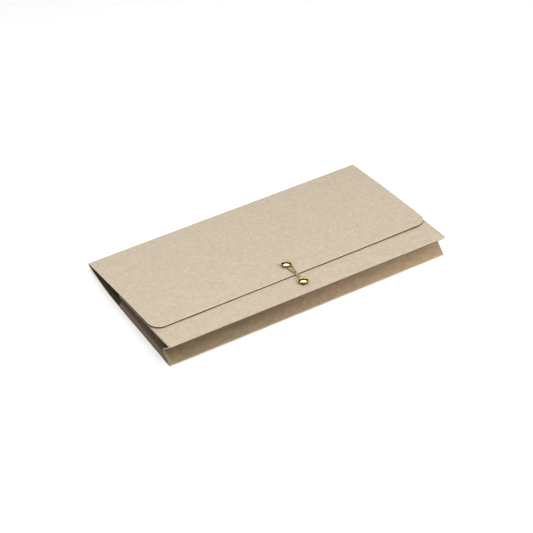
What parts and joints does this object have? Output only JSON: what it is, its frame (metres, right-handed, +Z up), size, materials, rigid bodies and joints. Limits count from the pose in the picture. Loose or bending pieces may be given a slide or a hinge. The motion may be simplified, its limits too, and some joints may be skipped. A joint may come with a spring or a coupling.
{
  "type": "string tie envelope",
  "caption": "Long kraft card document envelope with an expanding gusset pocket and a folding flap, held shut by a gold string wound between domed metal studs.",
  "frame": {"origin": "on the table under the middle of the closed envelope's bounding box", "axes": "+X across the width, +Y from the front fold to the flap fold, +Z up from the table"},
  "size_m": [0.24, 0.126, 0.0214],
  "materials": {
    "kraft_card": "matt kraft card with fine fibres",
    "gusset_card": "matt brown gusset card",
    "brass": "polished brass",
    "gold_string": "gold twisted thread"
  },
  "bodies": {
    "back_panel": {"back_panel": "kraft_card", "left_gusset_back_tab": "gusset_card", "right_gusset_back_tab": "gusset_card"},
    "front_gusset_lower": {"front_gusset_lower": "gusset_card"},
    "front_gusset_upper": {"front_gusset_upper": "gusset_card"},
    "front_panel": {"front_panel": "kraft_card", "left_gusset_front_tab": "gusset_card", "right_gusset_front_tab": "gusset_card", "front_button_cap": "brass", "front_button_post": "brass", "front_button_collar": "brass", "front_button_back_washer": "brass"},
    "flap_fold": {"flap_fold": "kraft_card"},
    "flap": {"flap": "kraft_card", "flap_button_cap": "brass", "flap_button_post": "brass", "flap_button_collar": "brass", "flap_button_back_washer": "brass", "tie_string": "gold_string"},
    "left_gusset_lower_leaf": {"left_gusset_lower_leaf": "gusset_card"},
    "left_gusset_upper_leaf": {"left_gusset_upper_leaf": "gusset_card"},
    "right_gusset_lower_leaf": {"right_gusset_lower_leaf": "gusset_card"},
    "right_gusset_upper_leaf": {"right_gusset_upper_leaf": "gusset_card"}
  },
  "joints": [
    {"name": "front_fold", "type": "hinge", "parent": "back_panel", "child": "front_gusset_lower", "pos_m": [0, -0.06235, 0.0007], "axis": [1, 0, 0], "range_deg": [-25.8, 0]},
    {"name": "front_valley_fold", "type": "hinge", "parent": "front_gusset_lower", "child": "front_gusset_upper", "pos_m": [0, -0.05321, 0.00925], "axis": [1, 0, 0], "range_deg": [0, 51.7]},
    {"name": "front_panel_fold", "type": "hinge", "parent": "front_gusset_upper", "child": "front_panel", "pos_m": [0, -0.06235, 0.01779], "axis": [1, 0, 0], "range_deg": [-22.8, 0]},
    {"name": "flap_crease_settle", "type": "hinge", "parent": "back_panel", "child": "flap_fold", "pos_m": [0, 0.06235, 0.00691], "axis": [-1, 0, 0], "range_deg": [-4.6, 0]},
    {"name": "flap_hinge", "type": "hinge", "parent": "flap_fold", "child": "flap", "pos_m": [0, 0.06235, 0.00691], "axis": [-1, 0, 0], "range_deg": [0, 174], "deforming": ["tie_string"]},
    {"name": "left_lower_side_fold", "type": "hinge", "parent": "back_panel", "child": "left_gusset_lower_leaf", "pos_m": [-0.1192, 0, 0.00125], "axis": [0, 1, 0], "range_deg": [0, 51.7]},
    {"name": "left_upper_side_fold", "type": "hinge", "parent": "front_panel", "child": "left_gusset_upper_leaf", "pos_m": [-0.1192, -0.0624, 0.01724], "axis": [0, 0.9963, -0.0854], "range_deg": [-51.7, 0]},
    {"name": "right_lower_side_fold", "type": "hinge", "parent": "back_panel", "child": "right_gusset_lower_leaf", "pos_m": [0.1192, 0, 0.00125], "axis": [0, 1, 0], "range_deg": [-51.7, 0]},
    {"name": "right_upper_side_fold", "type": "hinge", "parent": "front_panel", "child": "right_gusset_upper_leaf", "pos_m": [0.1192, -0.0624, 0.01724], "axis": [0, 0.9963, -0.0854], "range_deg": [0, 51.7]}
  ],
  "couplings": [
    {"joint": "front_valley_fold", "follows": "front_fold", "ratio": -2},
    {"joint": "front_panel_fold", "follows": "front_fold", "ratio": 0.8799},
    {"joint": "flap_crease_settle", "follows": "front_fold", "ratio": 0.175},
    {"joint": "left_lower_side_fold", "follows": "front_fold", "ratio": -2},
    {"joint": "left_upper_side_fold", "follows": "front_fold", "ratio": 2},
    {"joint": "right_lower_side_fold", "follows": "front_fold", "ratio": 2},
    {"joint": "right_upper_side_fold", "follows": "front_fold", "ratio": -2}
  ]
}
